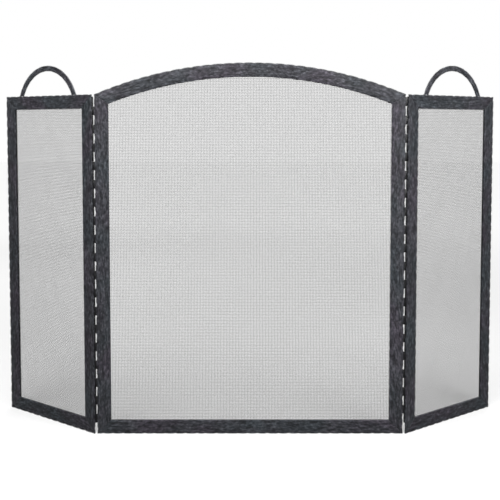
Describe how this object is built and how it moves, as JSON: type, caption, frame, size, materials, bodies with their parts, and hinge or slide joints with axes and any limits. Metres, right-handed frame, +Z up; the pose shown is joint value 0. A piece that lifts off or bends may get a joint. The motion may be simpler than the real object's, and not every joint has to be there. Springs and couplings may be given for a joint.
{
  "type": "folding fireplace screen",
  "caption": "Free-standing folding fireplace screen: an arched woven-wire centre panel with rectangular side panels on piano hinges, each side panel with a loop handle.",
  "frame": {"origin": "on the floor under the middle of the centre panel's bottom rail, at the middle of its thickness", "axes": "+Z up, +X to the right along the centre panel, +Y from the front of the screen to the fire behind it"},
  "size_m": [1.1852, 0.1871, 0.838],
  "materials": {
    "frame_paint": "mottled charcoal powder coat",
    "wire_paint": "satin dark grey paint on woven wire",
    "hinge_steel": "satin black paint",
    "fastener_steel": "satin black paint"
  },
  "bodies": {
    "centre_panel": {"centre_left_stile": "frame_paint", "centre_right_stile": "frame_paint", "centre_bottom_rail": "frame_paint", "centre_arched_rail": "frame_paint", "centre_wire_mesh": "wire_paint", "centre_left_strip": "frame_paint", "centre_right_strip": "frame_paint", "centre_bottom_strip": "frame_paint", "centre_arched_strip": "frame_paint", "left_hinge_centre_leaf": "hinge_steel", "left_hinge_pin": "fastener_steel", "left_centre_leaf_screw_1": "fastener_steel", "left_centre_leaf_screw_2": "fastener_steel", "left_centre_leaf_screw_3": "fastener_steel", "left_centre_leaf_screw_4": "fastener_steel", "left_centre_leaf_screw_5": "fastener_steel", "left_centre_leaf_screw_6": "fastener_steel", "right_hinge_centre_leaf": "hinge_steel", "right_hinge_pin": "fastener_steel", "right_centre_leaf_screw_1": "fastener_steel", "right_centre_leaf_screw_2": "fastener_steel", "right_centre_leaf_screw_3": "fastener_steel", "right_centre_leaf_screw_4": "fastener_steel", "right_centre_leaf_screw_5": "fastener_steel", "right_centre_leaf_screw_6": "fastener_steel"},
    "left_panel": {"left_outer_stile": "frame_paint", "left_inner_stile": "frame_paint", "left_bottom_rail": "frame_paint", "left_top_rail": "frame_paint", "left_wire_mesh": "wire_paint", "left_outer_strip": "frame_paint", "left_inner_strip": "frame_paint", "left_bottom_strip": "frame_paint", "left_top_strip": "frame_paint", "left_handle": "frame_paint", "left_hinge_side_leaf": "hinge_steel", "left_side_leaf_screw_1": "fastener_steel", "left_side_leaf_screw_2": "fastener_steel", "left_side_leaf_screw_3": "fastener_steel", "left_side_leaf_screw_4": "fastener_steel", "left_side_leaf_screw_5": "fastener_steel", "left_side_leaf_screw_6": "fastener_steel"},
    "right_panel": {"right_outer_stile": "frame_paint", "right_inner_stile": "frame_paint", "right_bottom_rail": "frame_paint", "right_top_rail": "frame_paint", "right_wire_mesh": "wire_paint", "right_outer_strip": "frame_paint", "right_inner_strip": "frame_paint", "right_bottom_strip": "frame_paint", "right_top_strip": "frame_paint", "right_handle": "frame_paint", "right_hinge_side_leaf": "hinge_steel", "right_side_leaf_screw_1": "fastener_steel", "right_side_leaf_screw_2": "fastener_steel", "right_side_leaf_screw_3": "fastener_steel", "right_side_leaf_screw_4": "fastener_steel", "right_side_leaf_screw_5": "fastener_steel", "right_side_leaf_screw_6": "fastener_steel"}
  },
  "joints": [
    {"name": "left_hinge", "type": "hinge", "parent": "centre_panel", "child": "left_panel", "pos_m": [-0.3523, 0.0058, 0], "axis": [0, 0, -1], "range_deg": [-37.5, 142.5]},
    {"name": "right_hinge", "type": "hinge", "parent": "centre_panel", "child": "right_panel", "pos_m": [0.3523, 0.0058, 0], "axis": [0, 0, 1], "range_deg": [-37.5, 142.5]}
  ]
}
